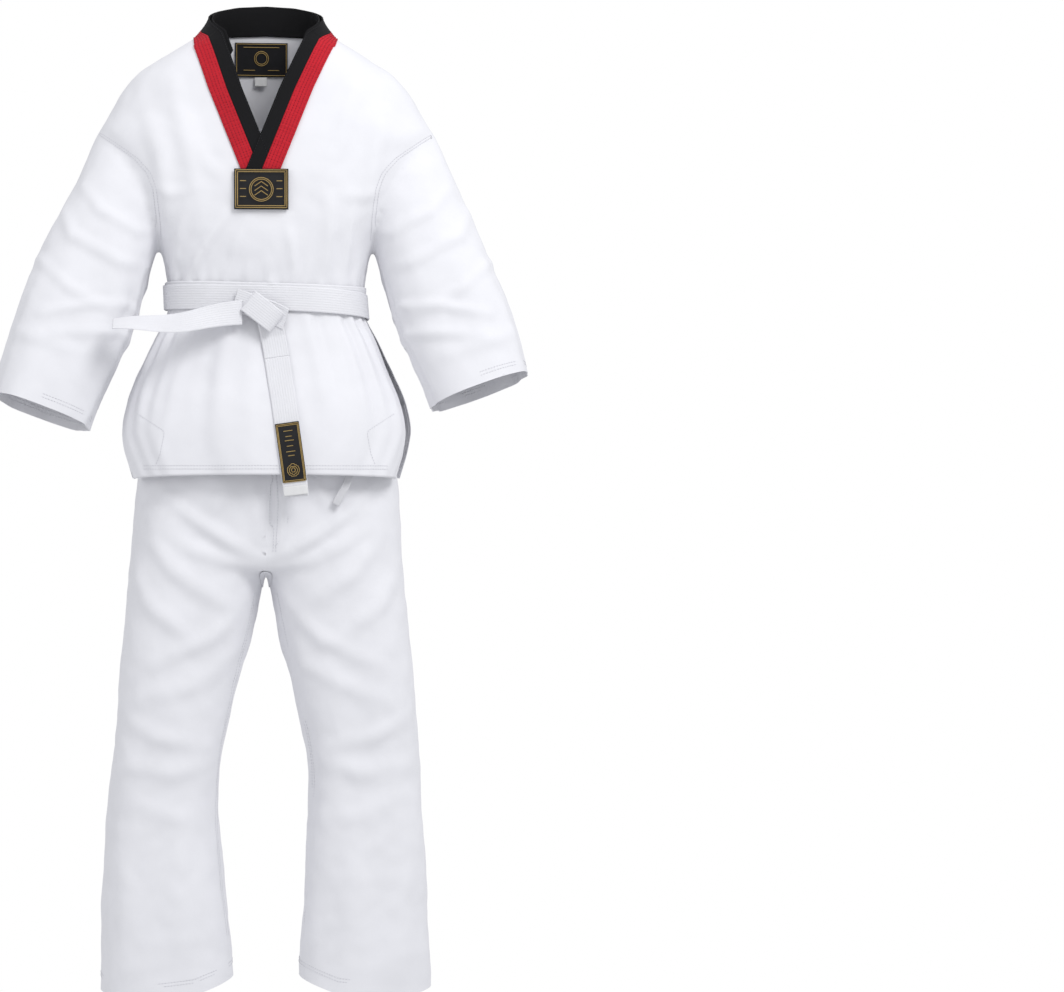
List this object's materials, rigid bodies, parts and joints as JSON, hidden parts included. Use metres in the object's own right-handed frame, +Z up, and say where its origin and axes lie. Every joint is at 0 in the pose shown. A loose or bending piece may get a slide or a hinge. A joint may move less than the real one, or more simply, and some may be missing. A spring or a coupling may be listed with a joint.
{
  "type": "martial arts uniform",
  "caption": "V-neck pull-over martial arts jacket, straight trousers and a tied belt, filled out as on a wearer and held at the waist.",
  "frame": {"origin": "centre of the trousers' waist opening, level with the top of the waistband", "axes": "+Z up, the front faces -Y, the wearer's left is +X"},
  "size_m": [0.8155, 0.3037, 1.5208],
  "materials": {
    "canvas": "white cotton canvas, matt",
    "black_band": "black cotton band with stitch rows",
    "red_band": "red cotton band, puckered by its stitch rows",
    "belt_white": "white stitched cotton belt",
    "label_black": "black woven label with gold threads",
    "label_white": "white woven label",
    "elastic": "woven elastic",
    "tape": "flat cotton tape"
  },
  "bodies": {
    "trousers": {"trousers_left_half": "canvas", "trousers_right_half": "canvas", "waistband_casing": "canvas", "waist_elastic": "elastic", "crotch_gusset": "canvas", "drawstring_left_end": "tape", "drawstring_right_end": "tape"},
    "left_leg": {"left_leg": "canvas"},
    "right_leg": {"right_leg": "canvas"},
    "jacket": {"jacket_front": "canvas", "jacket_back": "canvas", "collar_black_band": "black_band", "collar_red_band": "red_band", "chest_patch": "label_black", "neck_label": "label_black", "belt_inner_wrap": "belt_white", "belt_outer_wrap": "belt_white", "belt_knot": "belt_white"},
    "left_sleeve": {"left_sleeve": "canvas"},
    "right_sleeve": {"right_sleeve": "canvas"},
    "front_skirt": {"front_skirt_panel": "canvas", "front_vent_facing_left": "canvas", "front_vent_facing_right": "canvas"},
    "back_skirt": {"back_skirt_panel": "canvas", "back_vent_facing_left": "canvas", "back_vent_facing_right": "canvas"},
    "belt_front_tail": {"belt_front_tail": "belt_white", "belt_label": "label_black", "belt_end_label": "label_white"},
    "belt_side_tail": {"belt_side_tail": "belt_white"},
    "size_tag": {"size_tag": "label_white"}
  },
  "joints": [
    {"name": "jacket_lift", "type": "slide", "parent": "trousers", "child": "jacket", "axis": [0, 0, 1], "range_m": [0, 0.35]},
    {"name": "left_sleeve_swing", "type": "hinge", "parent": "jacket", "child": "left_sleeve", "pos_m": [0.215, 0, 0.185], "axis": [0, -1, 0], "range_deg": [0, 65]},
    {"name": "right_sleeve_swing", "type": "hinge", "parent": "jacket", "child": "right_sleeve", "pos_m": [-0.215, 0, 0.185], "axis": [0, 1, 0], "range_deg": [0, 65]},
    {"name": "front_skirt_lift", "type": "hinge", "parent": "jacket", "child": "front_skirt", "pos_m": [0, -0.088, -0.077], "axis": [-1, 0, 0], "range_deg": [0, 20]},
    {"name": "back_skirt_lift", "type": "hinge", "parent": "jacket", "child": "back_skirt", "pos_m": [0, 0.088, -0.077], "axis": [1, 0, 0], "range_deg": [0, 20]},
    {"name": "left_leg_swing", "type": "hinge", "parent": "trousers", "child": "left_leg", "pos_m": [0.146, 0, -0.517], "axis": [-1, 0, 0], "range_deg": [-25, 50]},
    {"name": "right_leg_swing", "type": "hinge", "parent": "trousers", "child": "right_leg", "pos_m": [-0.146, 0, -0.517], "axis": [-1, 0, 0], "range_deg": [-25, 50]},
    {"name": "belt_front_tail_lift", "type": "hinge", "parent": "front_skirt", "child": "belt_front_tail", "pos_m": [0.018, -0.1172, -0.0775], "axis": [-1, 0, 0], "range_deg": [0, 50]},
    {"name": "belt_side_tail_swing", "type": "hinge", "parent": "jacket", "child": "belt_side_tail", "pos_m": [-0.038, -0.1243, -0.013], "axis": [0, 0, 1], "range_deg": [0, 70]},
    {"name": "size_tag_flip", "type": "hinge", "parent": "jacket", "child": "size_tag", "pos_m": [-0.008, 0.0828, 0.369], "axis": [-1, 0, 0], "range_deg": [0, 90]}
  ]
}
